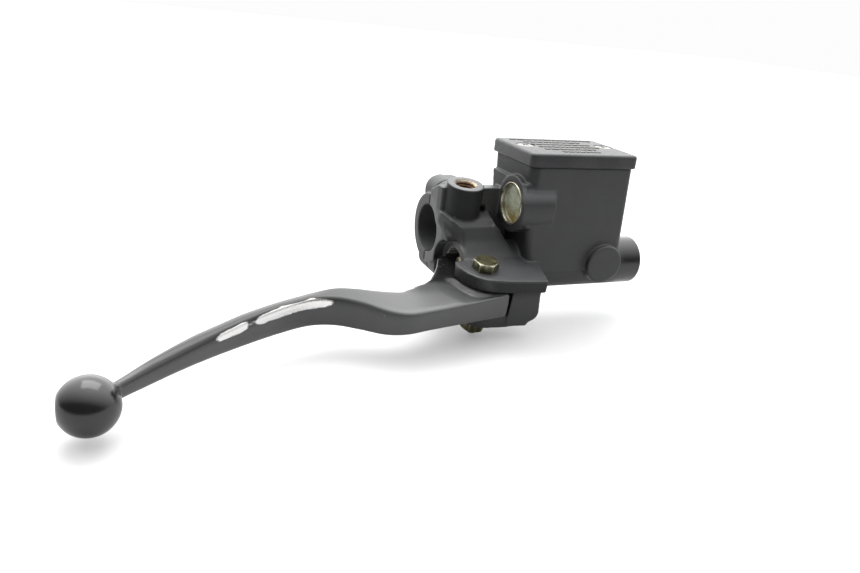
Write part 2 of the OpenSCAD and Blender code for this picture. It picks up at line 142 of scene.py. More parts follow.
def remeshed(mesh, voxel):
    """The mesh's solid rebuilt from even voxels, in millimetres."""
    obj = temp_object(mesh)
    modifier = obj.modifiers.new("voxels", "REMESH")
    modifier.mode = "VOXEL"
    modifier.voxel_size = voxel * MM
    modifier.use_smooth_shade = True
    return applied(obj)


def cut(mesh, *cutters):
    """The mesh with the cutters taken away."""
    obj = temp_object(mesh)
    tools = [temp_object(cutter) for cutter in cutters]
    for tool in tools:
        modifier = obj.modifiers.new("cut", "BOOLEAN")
        modifier.operation = "DIFFERENCE"
        modifier.solver = "EXACT"
        modifier.object = tool
    out = applied(obj)
    for tool in tools:
        bpy.data.objects.remove(tool)
    return out


def coords(mesh):
    """Vertex places in millimetres."""
    flat = np.empty(len(mesh.vertices) * 3, np.float32)
    mesh.vertices.foreach_get("co", flat)
    return flat.reshape(-1, 3).astype(float) / MM


def set_coords(mesh, places):
    mesh.vertices.foreach_set("co", (places * MM).astype(np.float32).ravel())
    mesh.update()


def relaxed(mesh, rounds, weight):
    """Evens out the mesh: each vertex moves towards its neighbours' average by its weight."""
    places = coords(mesh)
    edges = np.empty(len(mesh.edges) * 2, np.int64)
    mesh.edges.foreach_get("vertices", edges)
    a, b = edges.reshape(-1, 2).T
    count = len(places)
    degree = np.maximum(np.bincount(a, minlength=count) + np.bincount(b, minlength=count), 1)
    pull = np.broadcast_to(weight, (count,)) * 0.5
    for _ in range(rounds):
        for axis in range(3):
            column = places[:, axis]
            total = np.bincount(a, column[b], count) + np.bincount(b, column[a], count)
            places[:, axis] = column + (total / degree - column) * pull
    set_coords(mesh, places)


def set_mask(mesh, name, values):
    """Stores a 0 to 1 value per vertex for a material to read."""
    attribute = mesh.attributes.new(name, "FLOAT", "POINT")
    attribute.data.foreach_set("value", np.clip(values, 0, 1).astype(np.float32))


def smooth_shaded(mesh, angle=SMOOTH_ANGLE):
    mesh.shade_smooth()
    mesh.set_sharp_from_angle(angle=angle)
    return mesh


def placed(mesh, matrix):
    """The mesh moved by a matrix whose translation is in millimetres."""
    scaled = matrix.copy()
    scaled.translation = matrix.translation * MM
    mesh.transform(scaled)
    return mesh


def along(point, direction):
    """Matrix that takes Z to a direction, with its origin at a point."""
    turn = Vector((0, 0, 1)).rotation_difference(Vector(direction)).to_matrix().to_4x4()
    return Matrix.Translation(Vector(point)) @ turn


def smoothstep(low, high, value):
    t = np.clip((value - low) / (high - low), 0, 1)
    return t * t * (3 - 2 * t)


def loft(rings):
    """Closed solid through rings that hold the same number of points."""
    count = len(rings[0])
    faces = []
    for start in range(0, (len(rings) - 1) * count, count):
        for k in range(count):
            here, there = start + k, start + (k + 1) % count
            faces.append((here, there, there + count, here + count))
    faces.append(list(reversed(range(count))))
    faces.append([(len(rings) - 1) * count + k for k in range(count)])
    mesh = mesh_from("loft", [point for ring in rings for point in ring], faces)
    tidy_normals(mesh)
    return mesh


def turned_faces(rows, steps, closed):
    """Faces of a profile of so many rows that is turned about Z in steps."""
    faces = []
    for step in range(steps):
        here, there = step * rows, (step + 1) % steps * rows
        for row in range(rows if closed else rows - 1):
            up = (row + 1) % rows
            faces.append((here + row, there + row, there + up, here + up))
    if not closed:
        faces.append([step * rows for step in reversed(range(steps))])
        faces.append([step * rows + rows - 1 for step in range(steps)])
    return faces


def lathe(profile, steps=96, closed=True):
    """Turns a profile of (radius, height) points about Z. A closed profile joins its last point to
    its first; an open one is capped at both ends."""
    points = []
    for step in range(steps):
        angle = 2 * math.pi * step / steps
        for radius, height in profile:
            points.append((radius * math.cos(angle), radius * math.sin(angle), height))
    mesh = mesh_from("lathe", points, turned_faces(len(profile), steps, closed))
    tidy_normals(mesh)
    return smooth_shaded(mesh)


def tidy_normals(mesh):
    bm = bmesh.new()
    bm.from_mesh(mesh)
    bmesh.ops.remove_doubles(bm, verts=bm.verts, dist=1e-7)
    bmesh.ops.recalc_face_normals(bm, faces=bm.faces)
    bm.to_mesh(mesh)
    bm.free()


def curve_point(points, t):
    """Catmull-Rom point at t, counted in control points."""
    last = len(points) - 1
    i = min(int(t), last - 1)
    t -= i
    a, b, c, d = (np.array(points[min(max(i + k, 0), last)], float) for k in (-1, 0, 1, 2))
    square, cube = 2 * a - 5 * b + 4 * c - d, 3 * b - a - 3 * c + d
    return 0.5 * (2 * b + (c - a) * t + square * t * t + cube * t**3)


# ---------- materials ----------


class Nodes:
    """Short names for building a material's nodes."""

    def __init__(self, name):
        self.material = bpy.data.materials.new(name)
        self.material.use_nodes = True
        self.tree = self.material.node_tree
        self.shader = self.tree.nodes["Principled BSDF"]
        self.space = self.add("ShaderNodeTexCoord").outputs["Object"]

    def add(self, kind, **settings):
        node = self.tree.nodes.new(kind)
        for key, value in settings.items():
            setattr(node, key, value)
        return node

    def link(self, source, target):
        self.tree.links.new(source, target)

    def noise(self, scale, detail=4, rough=0.55, stretch=(1, 1, 1)):
        """Noise with scale in features per millimetre."""
        mapping = self.add("ShaderNodeMapping")
        mapping.inputs["Scale"].default_value = [scale / MM * s for s in stretch]
        self.link(self.space, mapping.inputs["Vector"])
        noise = self.add("ShaderNodeTexNoise")
        noise.inputs["Scale"].default_value = 1
        noise.inputs["Detail"].default_value = detail
        noise.inputs["Roughness"].default_value = rough
        self.link(mapping.outputs[0], noise.inputs["Vector"])
        return noise.outputs[0]

    def ramp(self, value, low, high, start=0.0, end=1.0):
        node = self.add("ShaderNodeMapRange")
        node.inputs["From Min"].default_value = low
        node.inputs["From Max"].default_value = high
        node.inputs["To Min"].default_value = start
        node.inputs["To Max"].default_value = end
        self.link(value, node.inputs["Value"])
        return node.outputs[0]

    def math(self, operation, a, b):
        node = self.add("ShaderNodeMath", operation=operation)
        for socket, value in zip(node.inputs, (a, b)):
            if isinstance(value, (int, float)):
                socket.default_value = value
            else:
                self.link(value, socket)
        return node.outputs[0]

    def mix(self, factor, a, b):
        node = self.add("ShaderNodeMix", data_type="RGBA")
        for socket, value in ((node.inputs[0], factor), (node.inputs[6], a), (node.inputs[7], b)):
            if isinstance(value, (tuple, list)):
                socket.default_value = (*value, 1)
            elif isinstance(value, (int, float)):
                socket.default_value = value
            else:
                self.link(value, socket)
        return node.outputs[2]

    def mask(self, name):
        return self.add("ShaderNodeAttribute", attribute_name=name).outputs["Fac"]

    def upward(self):
        """How far the surface looks up."""
        split = self.add("ShaderNodeSeparateXYZ")
        self.link(self.add("ShaderNodeNewGeometry").outputs["Normal"], split.inputs[0])
        return split.outputs["Z"]

    def edges(self, low, high):
        """Mask of the outer edges, from the surface's curvature."""
        return self.ramp(self.add("ShaderNodeNewGeometry").outputs["Pointiness"], low, high)

    def bump(self, height, strength, distance):
        node = self.add("ShaderNodeBump")
        node.inputs["Strength"].default_value = strength
        node.inputs["Distance"].default_value = distance * MM
        self.link(height, node.inputs["Height"])
        self.link(node.outputs[0], self.shader.inputs["Normal"])

    def feed(self, name, value):
        socket = self.shader.inputs[name]
        if isinstance(value, (tuple, list)):
            socket.default_value = (*value, 1)
        elif isinstance(value, (int, float)):
            socket.default_value = value
        else:
            self.link(value, socket)


# near-black of polished paint, also used as painted shade on the lever's horn
GLOSS_AND_SHADE_BLACK = (0.006, 0.006, 0.0065)
DUST = (0.075, 0.077, 0.08)
WORN_EDGE = (0.16, 0.15, 0.135)


def paint(name, base, dusty, rough, bare, grain=2.2, grain_depth=0.05, edge=(0.53, 0.60), coat=0.0,
          dust=0.5):
    """Satin paint on a casting. Dust lies on what looks up, and edges are worn. The wear mask shows
    bare metal, the gloss mask a polished black that on the lever's horn is painted shade, dust more
    dust, and the last mask cuts the sheen as painted shade where faces lie in shade."""
    n = Nodes(name)
    cloudy = n.noise(0.05, 5)
    fine = n.noise(grain, 3)
    scuffs = n.noise(0.35, 6, 0.7, (1, 1, 3))
    colour = n.mix(n.ramp(cloudy, 0.35, 0.7), base, dusty)
    lying = n.ramp(n.upward(), 0.15, 0.9, 0.0, dust)
    settled = n.math("MULTIPLY", lying, n.ramp(cloudy, 0.25, 0.6, 0.6, 1.0))
    colour = n.mix(n.math("MAXIMUM", settled, n.mask("dust")), colour, DUST)
    worn = n.math("MULTIPLY", n.edges(*edge), n.ramp(scuffs, 0.38, 0.6))
    colour = n.mix(n.math("MULTIPLY", worn, 0.55), colour, WORN_EDGE)
    patches = n.math("ADD", n.math("MULTIPLY", cloudy, 0.6), n.math("MULTIPLY", scuffs, 0.4))
    roughness = n.ramp(patches, 0.3, 0.7, rough - 0.07, rough + 0.09)
    stripped = n.ramp(n.math("ADD", n.mask("wear"), n.math("MULTIPLY", scuffs, 0.5)), 0.72, 0.86)
    colour = n.mix(stripped, colour, bare)
    n.feed("Metallic", stripped)
    roughness = n.math("MULTIPLY", roughness, n.ramp(stripped, 0, 1, 1.0, 0.75))
    # the gloss mask turns the paint a polished near-black; on the lever's horn this near-black is painted shade
    polish_and_shade = n.math("MULTIPLY", n.mask("gloss_and_shade"), n.ramp(stripped, 0, 1, 1.0, 0.0))
    colour = n.mix(polish_and_shade, colour, GLOSS_AND_SHADE_BLACK)
    roughness = n.math("MULTIPLY", roughness, n.ramp(polish_and_shade, 0, 1, 1.0, 0.5))
    n.feed("Base Color", colour)
    n.feed("Roughness", roughness)
    n.feed("Coat Weight", coat)
    n.feed("Coat Roughness", 0.12)
    # painted shade: this mask cuts the specular sheen so that faces lying in shade look darker
    n.feed("Specular IOR Level", n.ramp(n.mask("matt"), 0, 1, 0.6, 0.05))
    height = n.math("ADD", fine, n.math("MULTIPLY", n.noise(0.5, 2), 0.6))
    n.bump(height, 0.5, grain_depth)
    return n.material


def metal(name, base, tint, rough, scratches=(1, 1, 6), edge=None, rims=False):
    """Plated or bare metal with stains, scratches and brighter worn edges. The edges come from the
    curvature, or from the mesh's rim mask."""
    n = Nodes(name)
    stains = n.noise(0.35, 5, 0.6)
    lines = n.noise(1.2, 3, 0.6, scratches)
    colour = n.mix(n.ramp(stains, 0.38, 0.64), base, tint)
    if edge:
        outer = n.mask("rim") if rims else n.edges(0.53, 0.62)
        worn = n.math("MULTIPLY", outer, n.ramp(lines, 0.35, 0.55))
        colour = n.mix(worn, colour, edge)
    n.feed("Base Color", colour)
    n.feed("Metallic", 1.0)
    patches = n.math("ADD", stains, n.math("MULTIPLY", lines, 0.5))
    n.feed("Roughness", n.ramp(patches, 0.5, 1.0, rough - 0.1, rough + 0.15))
    n.bump(n.math("ADD", lines, stains), 0.35, 0.03)
    return n.material


def moulded(name, base, dusty, rough, grain=3.0, depth=0.03):
    """Moulded plastic or rubber with a fine grain and a little dust."""
    n = Nodes(name)
    cloudy = n.noise(0.08, 5)
    fine = n.noise(grain, 3)
    n.feed("Base Color", n.mix(n.ramp(cloudy, 0.4, 0.75), base, dusty))
    n.feed("Roughness", n.ramp(n.noise(0.6, 5), 0.3, 0.7, rough - 0.06, rough + 0.08))
    n.bump(fine, 0.4, depth)
    return n.material


CAST_METAL = (0.42, 0.40, 0.36)
CAST_BLACK = paint("casting_paint", (0.012, 0.0125, 0.0135), (0.022, 0.0225, 0.0225), 0.5, CAST_METAL)
CAP_BLACK = paint("cap_paint", (0.016, 0.0165, 0.017), (0.03, 0.03, 0.029), 0.55, CAST_METAL)
LEVER_BLACK = paint("lever_paint", (0.046, 0.0465, 0.047), (0.060, 0.0605, 0.061), 0.38,
                    (0.78, 0.77, 0.76), grain=1.4, grain_depth=0.03, edge=(0.54, 0.62), coat=0.1, dust=0.15)
LID_BLACK = moulded("lid_plastic", (0.014, 0.0145, 0.016), (0.03, 0.03, 0.03), 0.45, grain=2.4, depth=0.05)
LID_MARKS = moulded("lid_marks", (0.055, 0.054, 0.05), (0.11, 0.108, 0.10), 0.5)
YELLOW_ZINC = metal("yellow_zinc", (0.075, 0.072, 0.038), (0.12, 0.115, 0.062), 0.34,
                    edge=(0.50, 0.49, 0.40), rims=True)
LID_SCREW_STEEL = metal("lid_screw_steel", (0.26, 0.255, 0.24), (0.17, 0.165, 0.15), 0.36,
                        edge=(0.5, 0.49, 0.46))
DULL_ZINC = metal("dull_zinc", (0.16, 0.155, 0.12), (0.27, 0.265, 0.23), 0.45, edge=(0.50, 0.49, 0.45))
SPRING_STEEL = metal("spring_steel", (0.30, 0.30, 0.29), (0.22, 0.21, 0.19), 0.4)
BRASS = metal("bush_brass", (0.50, 0.36, 0.14), (0.38, 0.26, 0.10), 0.35, edge=(0.75, 0.60, 0.32))
RING_METAL = metal("sight_ring_metal", (0.50, 0.46, 0.33), (0.62, 0.58, 0.45), 0.3, edge=(0.85, 0.82, 0.70))
PISTON_ALLOY = metal("piston_alloy", (0.55, 0.49, 0.36), (0.42, 0.38, 0.29), 0.35)
THREAD_METAL = metal("thread_metal", (0.16, 0.09, 0.05), (0.30, 0.21, 0.14), 0.42, edge=(0.55, 0.48, 0.38))
RUBBER = moulded("black_rubber", (0.012, 0.012, 0.012), (0.02, 0.02, 0.019), 0.62)
WHITE_PLASTIC = moulded("white_plastic", (0.60, 0.58, 0.50), (0.50, 0.48, 0.40), 0.4)


def glass():
    """Clear plastic with fine crazing."""
    n = Nodes("sight_glass")
    n.feed("Base Color", (0.93, 0.95, 0.86))
    n.feed("Transmission Weight", 1.0)
    n.feed("IOR", 1.46)
    n.feed("Roughness", n.ramp(n.noise(1.2, 6, 0.7), 0.35, 0.7, 0.02, 0.16))
    n.bump(n.noise(0.5, 3), 0.2, 0.04)
    return n.material


def sight_back():
    """What shows behind the glass: hazed chamber above, amber fluid below, a level line between."""
    n = Nodes("sight_back")
    split = n.add("ShaderNodeSeparateXYZ")
    n.link(n.space, split.inputs[0])
    low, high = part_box("sight_lens")
    height = n.ramp(split.outputs["Z"], low.z, high.z)
    blotches = n.noise(0.35, 5, 0.65)
    streaks = n.noise(0.5, 4, 0.6, (1, 3, 1))
    haze = n.mix(n.ramp(blotches, 0.36, 0.62), (0.55, 0.55, 0.46), (0.95, 0.96, 0.88))
    haze = n.mix(n.ramp(streaks, 0.5, 0.72), haze, (0.92, 0.93, 0.87))
    level = n.math("ADD", height, n.math("MULTIPLY", blotches, 0.35))
    colour = n.mix(n.ramp(level, 0.62, 0.36), haze, (0.60, 0.47, 0.22))
    n.feed("Base Color", colour)
    n.feed("Roughness", 0.5)
    n.bump(blotches, 0.4, 0.15)
    return n.material


SIGHT_GLASS = glass()
SIGHT_BACK = sight_back()


# ---------- castings ----------


def near_axis(places, point, direction, radius):
    """1 inside a cylinder about an axis, falling to 0 a little outside it."""
    offset = places - np.array(point)
    unit = np.array(Vector(direction).normalized())
    across = offset - np.outer(offset @ unit, unit)
    return 1 - smoothstep(radius, radius + 1.2, np.linalg.norm(across, axis=1))


# The CAD draws the one casting as these four solids
CAST_NODES = ("main_body", "lever_bracket", "cylinder_body", "reservoir_body")
TUBE_AT = Vector(mounts["outlet_port"]["pos_m"]) / MM
X_AXIS = (1, 0, 0)
MIRROR_BOSS_R = 8.6
SIGHT_BOSS_R = 12.8


def heights_over_pivot(places):
    """How far each point lies above the lever's mid plane."""
    return (places - np.array(PIVOT)) @ np.array(LEVER_UP)


def even_out_casting(mesh, mirror, mirror_at, sight_at):
    """Rounds the casting's edges, and leaves its bores, bosses and far end crisp."""
    places = coords(mesh)
    x, y, z = places.T
    crisp = np.maximum.reduce([
        near_axis(places, mirror_at, mirror["axis"], MIRROR_BOSS_R) * smoothstep(9, 11, z),
        near_axis(places, TUBE_AT, X_AXIS, 6.6),
        near_axis(places, PIVOT, LEVER_UP, 3.6),
        near_axis(places, sight_at, X_AXIS, SIGHT_BOSS_R) * smoothstep(34, 31, x) * smoothstep(-20, -24, y),
        near_axis(places, (0, TUBE_AT.y, TUBE_AT.z), X_AXIS, 11.6) * smoothstep(-3, -6, x),
        smoothstep(12.1, 11.7, np.hypot(y, z)) * smoothstep(12, 11, np.abs(x)),
        0.7 * smoothstep(23, 26, x),
        0.8 * smoothstep(-39, -42, y),
    ])
    even = 1 - crisp
    relaxed(mesh, 2, 0.5)
    relaxed(mesh, 4, even * 0.9)
    # the junctions between arm, cylinder and reservoir are blended more than the rest
    blend = even * smoothstep(24, 20, x) * smoothstep(-39, -36, y)
    blend *= smoothstep(12, 8, z) * smoothstep(-8, -5, z)
    relaxed(mesh, BLEND_ROUNDS, blend)
    # the stop block between the ears is rounder than its flat outline
    places = coords(mesh)
    block = smoothstep(11.5, 13, places[:, 0]) * smoothstep(-34, -38, places[:, 1])
    block *= smoothstep(5.6, 4.4, heights_over_pivot(places))
    relaxed(mesh, BLEND_ROUNDS, 0.9 * block)


def casting():
    mesh = remeshed(joined([nodes[name].data for name in CAST_NODES]), CAST_VOXEL)
    mirror = mounts["mirror_thread"]
    mirror_at = Vector(mirror["pos_m"]) / MM
    sight_low, sight_high = box_mm("sight_ring")
    sight_at = (sight_low + sight_high) / 2
    even_out_casting(mesh, mirror, mirror_at, sight_at)

    places = coords(mesh)
    x, y, z = places.T
    ear_height = heights_over_pivot(places)
    # machined top of the mirror boss
    boss_axis = np.array(Vector(mirror["axis"]))
    boss_height = (places - np.array(mirror_at)) @ boss_axis - mirror["dims"]["length_mm"] / 2
    on_boss_top = smoothstep(-0.45, -0.15, boss_height)
    thread_rim = near_axis(places, mirror_at, mirror["axis"], 5.1) * on_boss_top
    near_boss = near_axis(places, mirror_at, mirror["axis"], MIRROR_BOSS_R)
    # bare wall inside the cylinder's mouth
    from_bore = np.hypot(y - TUBE_AT.y, z - TUBE_AT.z)
    in_mouth = smoothstep(9.4, 8.8, from_bore) * smoothstep(2.4, 1.8, x) * smoothstep(-8, -6, x)
    # rim of the upper ear
    rim = smoothstep(10.5, 11.6, ear_height) * (1 - smoothstep(12.5, 13.2, ear_height))
    rim *= smoothstep(-44, -48, y)
    set_mask(mesh, "wear", np.maximum.reduce([0.55 * thread_rim, 0.5 * in_mouth, 0.36 * rim]))

    # end face of the clamp and top of the sight glass boss lightened towards the dust colour
    clamp_end = smoothstep(-10.6, -10.9, x) * smoothstep(16.6, 16.1, np.hypot(y, z))
    sight_top = near_axis(places, sight_at, X_AXIS, SIGHT_BOSS_R) * smoothstep(-33, -36, y)
    sight_top *= smoothstep(34, 31, x) * smoothstep(sight_at.z + 2, sight_at.z + 6, z)
    set_mask(mesh, "dust", np.maximum.reduce([near_boss * on_boss_top, 0.45 * clamp_end, 0.9 * sight_top]))
    # the cylinder's outlet end is polished
    set_mask(mesh, "gloss_and_shade", smoothstep(74, 80, x))

    # painted shade: the sheen is cut on the mirror boss's side, the ears' front edges and the faces that look
    # left, which lie in shade
    boss_side = near_boss * (1 - on_boss_top) * smoothstep(8, 11, z)
    ear_front = smoothstep(-49.5, -50.5, y) * smoothstep(11.8, 11, ear_height)
    left_wall = smoothstep(24, 22, x) * smoothstep(15, 17, x) * smoothstep(26, 30, z)
    left_arm = smoothstep(-8, -11, x) * smoothstep(-16, -19, y)
    left_arm *= smoothstep(10, 6, z) * smoothstep(-14, -10, z)
    set_mask(mesh, "matt", np.maximum.reduce([
        0.8 * boss_side, 0.6 * ear_front, 0.45 * left_wall, 0.5 * left_arm,
    ]))
    smooth_shaded(mesh, CAST_ANGLE)
    piece("body_casting", mesh, "body", CAST_BLACK, CAST_NODES)


def cap_casting():
    mesh = remeshed(nodes["clamp_cap"].data.copy(), CAST_VOXEL)
    _, y, z = coords(mesh).T
    bore = smoothstep(12.6, 11.8, np.hypot(y, z))
    relaxed(mesh, 2, 0.6)
    relaxed(mesh, 6, (1 - bore) * 0.9)
    smooth_shaded(mesh, CAST_ANGLE)
    piece("cap_casting", mesh, "body", CAP_BLACK, ("clamp_cap",))


# ---------- lever ----------

BALL_AT = (-154.2, -50, 0)
BALL_R = 9.6
BALL_FLAT = 8.7
HUB_R = 6.6
HUB_H = 12
BUSH_R = 4.49
NOSE_AT = (-9, 15.6)
NOSE_R = 4.5
BLADE_FRONT = [
    (8, -12.4), (-12, -17), (-30, -20.6), (-41, -21.9), (-49, -18.8), (-57, -12), (-66, -7.2),
    (-76, -6.2), (-88, -10.4), (-103, -18), (-120, -28.5), (-135, -38.5), (-149, -48.5),
]
BLADE_BACK = [
    (8, -2), (-26.8, 0.8), (-34, -2.6), (-40, -3.5), (-48, -1.8), (-57, 1.2), (-66, 2.7),
    (-77, 1), (-90, -3.6), (-104, -9.6), (-120, -19), (-135, -31), (-149, -43.5),
]
# Top and bottom of the blade, and how square its section is, at the same stations
BLADE_TOP = [6, 6, 6, 6, 6, 5.9, 5.8, 5.7, 5.6, 5.3, 4.6, 3.8, 3.2]
BLADE_LOW = [-5.8, -4.7, -4.2, -4.8, -6.2, -7.6, -8, -8, -7.6, -6.9, -5.4, -4.3, -3.4]
BLADE_SQUARE = [9, 9, 8, 7, 6.5, 6, 5, 4.5, 4, 3.4, 2.8, 2.4, 2.2]


def blade():
    """Blade swept from the hub to the ball through its outline's stations."""
    around, steps = 56, 12
    heights = list(zip(BLADE_TOP, BLADE_LOW, BLADE_SQUARE))
    stations = np.linspace(0, len(BLADE_FRONT) - 1, (len(BLADE_FRONT) - 1) * steps + 1)
    rings = []
    for t in stations:
        front, back = curve_point(BLADE_FRONT, t), curve_point(BLADE_BACK, t)
        top, low, square = curve_point(heights, t)
        power = 2 / square
        ring = []
        for k in range(around):
            angle = 2 * math.pi * k / around
            u = math.copysign(abs(math.cos(angle)) ** power, math.cos(angle))
            w = math.copysign(abs(math.sin(angle)) ** power, math.sin(angle))
            place = (front + back) / 2 + (back - front) / 2 * u
            height = (top + low) / 2 + (top - low) / 2 * w
            ring.append((place[0], place[1], height))
        rings.append(ring)
    return loft(rings)


def prism(outline, low, high):
    """Straight prism over an outline."""
    return loft([[(x, y, height) for x, y in outline] for height in (low, high)])


def circle(centre, radius, steps=48):
    turns = [2 * math.pi * i / steps for i in range(steps)]
    return [(centre[0] + radius * math.cos(turn), centre[1] + radius * math.sin(turn)) for turn in turns]


HORN = [
    (-37, -3.6), (-33.5, -2.4), (-30, -1), (-26.4, 1.3), (-23, 4), (-20, 8), (-15.8, 14.6),
    (-12.4, 21.4), (-10.6, 23.4), (-7.2, 23.4), (-6, 21.5),
    (-6, 15), (-4.6, 14.8), (-4, 5), (8, -2), (0, -6), (-18, -8), (-34, -10),
]
# Edge of the hub's raised pad, from left to right
PAD_EDGE = [(-15.5, 8), (-12.6, 5.3), (-10.2, -2.6), (-6.8, -8.2), (-0.7, -9.7), (8.2, -11.2)]
VALLEY_DEPTH = 1.7
TOP_FALL = 1.6


def lever_ball():
    """Ball at the lever's end, with its tip ground flat."""
    rows = 32
    angles = [math.pi * i / rows for i in range(1, rows)]
    ball = lathe([(BALL_R * math.sin(a), -BALL_R * math.cos(a)) for a in angles], closed=False)
    places = coords(ball)
    places[:, 0] = np.maximum(places[:, 0], -BALL_FLAT)
    set_coords(ball, places)
    return placed(ball, Matrix.Translation(BALL_AT))


def blade_edge(outline, x):
    """Height across the blade of one of its edges, at places along it."""
    return np.interp(x, *np.array(sorted(outline)).T)


def lever():
    half = HUB_H / 2
    mesh = remeshed(joined([
        prism(circle((0, 0), HUB_R), -half, half), prism(HORN, -half, half),
        prism(circle(NOSE_AT, NOSE_R), -half, half), blade(), lever_ball(),
    ]), LEVER_VOXEL)
    places = coords(mesh)
    x, y, z = places.T
    # concave valley between the hub pad and the front ridge
    pad = np.array([curve_point(PAD_EDGE, t) for t in np.linspace(0, len(PAD_EDGE) - 1, 60)])
    away = np.min(np.hypot(x[:, None] - pad[:, 0], y[:, None] - pad[:, 1]), axis=1)
    front_y, back_y = blade_edge(BLADE_FRONT, x), blade_edge(BLADE_BACK, x)
    inside = smoothstep(0.5, 3.2, y - front_y) * smoothstep(-60, -38, x)
    outside_pad = (x < pad[0, 0]) | (y < np.interp(x, pad[:, 0], pad[:, 1]))
    valley = smoothstep(0.1, 1.4, away) * smoothstep(13, 2.5, away) * outside_pad * smoothstep(7, -1, y)
    places[:, 2] -= VALLEY_DEPTH * inside * valley * smoothstep(2, 6, z)
    # the top face falls away behind the ridge further out
    across = np.clip((y - front_y) / (back_y - front_y), 0, 1)
    far_out = smoothstep(-62, -80, x) * smoothstep(-140, -110, x)
    places[:, 2] -= TOP_FALL * across**1.6 * far_out * smoothstep(0, 5, z)
    set_coords(mesh, places)
    relaxed(mesh, 3, 0.8)
    neck = smoothstep(-152, -147, x) * smoothstep(-138, -143, x)
    root = smoothstep(-46, -38, x) * smoothstep(-12, -18, x) * smoothstep(-9, -4, y)
    rim_blend = 0.8 * smoothstep(3.6, 1.2, away) * smoothstep(2, 3.5, z) * smoothstep(9, 4, y)
    relaxed(mesh, BLEND_ROUNDS, np.maximum.reduce([neck, root, rim_blend]))

    # the ridge is worn through to the metal in two patches in the middle of the grip
    x, y, z = coords(mesh).T
    on_ridge = smoothstep(2.4, 0.2, y - blade_edge(BLADE_FRONT, x)) * smoothstep(-1.0, 3.2, z)
    patch = smoothstep(-119, -110, x) * smoothstep(-62, -73, x)
    patch *= 1 - 0.45 * smoothstep(4, 1, np.abs(x + 100.5))
    horn_edge = smoothstep(-20, -17, x) * smoothstep(-8, -11, x)
    horn_edge *= smoothstep(9, 14, y) * smoothstep(4.2, 5.6, z)
    pad_rim = smoothstep(0.9, 0.2, away) * smoothstep(5.2, 5.8, z)
    pad_rim *= smoothstep(12, 6, x) * smoothstep(5, 1, y)
    set_mask(mesh, "wear", np.maximum.reduce([on_ridge * patch, 0.45 * horn_edge, 0.4 * pad_rim]))
    # the ball and the outer blade are polished by use; on the horn's top the same polished near-black is painted
    # shade, for the shade under the ear
    horn_top = smoothstep(-0.5, 4, y) * smoothstep(-33, -26, x)
    outer = smoothstep(-50, -95, x) * smoothstep(0, 3, z)
    set_mask(mesh, "gloss_and_shade", np.maximum.reduce([smoothstep(-143, -147, x), 0.9 * horn_top, 0.75 * outer]))
    # painted shade: the sheen is cut on the top of the neck by the hub and on the top of the blade before the
    # grip, so they look darker as shade
    neck_top = smoothstep(-10, -3, y) * smoothstep(-40, -30, x)
    shaded_top = smoothstep(-30, -62, x) * smoothstep(-143, -135, x) * smoothstep(2, 4.5, z)
    set_mask(mesh, "matt", np.maximum(0.8 * neck_top, 0.6 * shaded_top))

    mesh = cut(mesh, lathe([(BUSH_R, -20), (BUSH_R, 20)], closed=False))
    smooth_shaded(placed(mesh, LEVER_FRAME), CAST_ANGLE)
    piece("lever_forging", mesh, "lever", LEVER_BLACK, ("brake_lever",))


# ---------- lid ----------


# Rounding of the lid's edge and corners, and the thickness of its top and skirt
LID_EDGE = 1.3
LID_CORNER = 2.5
LID_PLATE = 2.4
LID_SKIRT = 2.6
SCREW_HEAD_R = 4


def box_ring(low, high, inset, radius, height, corner_steps=8):
    """Closed ring of points round a rectangle with round corners."""
    radius = max(radius - inset, 0.3)
    left, right = low.x + inset + radius, high.x - inset - radius
    near, far = low.y + inset + radius, high.y - inset - radius
    centres = [(right, far, 0), (left, far, 90), (left, near, 180), (right, near, 270)]
    points = []
    for x, y, start in centres:
        for step in range(corner_steps + 1):
            angle = math.radians(start + 90 * step / corner_steps)
            points.append((x + radius * math.cos(angle), y + radius * math.sin(angle), height))
    return points


def lid():
    low, high = box_mm("reservoir_cover")
    rings = [
        box_ring(low, high, LID_SKIRT + 0.1, LID_CORNER, high.z - LID_PLATE),
        box_ring(low, high, LID_SKIRT, LID_CORNER, low.z + 0.3),
        box_ring(low, high, LID_SKIRT - 0.3, LID_CORNER, low.z),
        box_ring(low, high, 0.35, LID_CORNER, low.z),
        box_ring(low, high, 0.0, LID_CORNER, low.z + 0.35),
    ]
    arcs = 6
    for step in range(arcs + 1):
        angle = math.pi / 2 * step / arcs
        inset = LID_EDGE * (1 - math.cos(angle)) + 0.1 * step / arcs
        rings.append(box_ring(low, high, inset, LID_CORNER, high.z - LID_EDGE * (1 - math.sin(angle))))
    heads_low, heads_high = box_mm("cover_screws")
    cutters = []
    for x in (heads_low.x + SCREW_HEAD_R, heads_high.x - SCREW_HEAD_R):
        sink = lathe([(2.25, -8), (2.25, -2.2), (4.25, -0.15), (4.25, 3)], closed=False)
        cutters.append(placed(sink, Matrix.Translation((x, (heads_low.y + heads_high.y) / 2, high.z))))
    mesh = smooth_shaded(cut(loft(rings), *cutters), math.radians(30))
    piece("lid_shell", mesh, "body", LID_BLACK, ("reservoir_cover",))


# Start and end of each row of bars, from the lid's left edge, and the distance between rows
BAR_ROWS = [(6, 50), (10.5, 42), (11.5, 42.5), (12.5, 44.5), (12.5, 39), (18.5, 38)]
BAR_ROW_GAP = 5.2
BAR_HALF_D = 0.8
BAR_H = 0.3


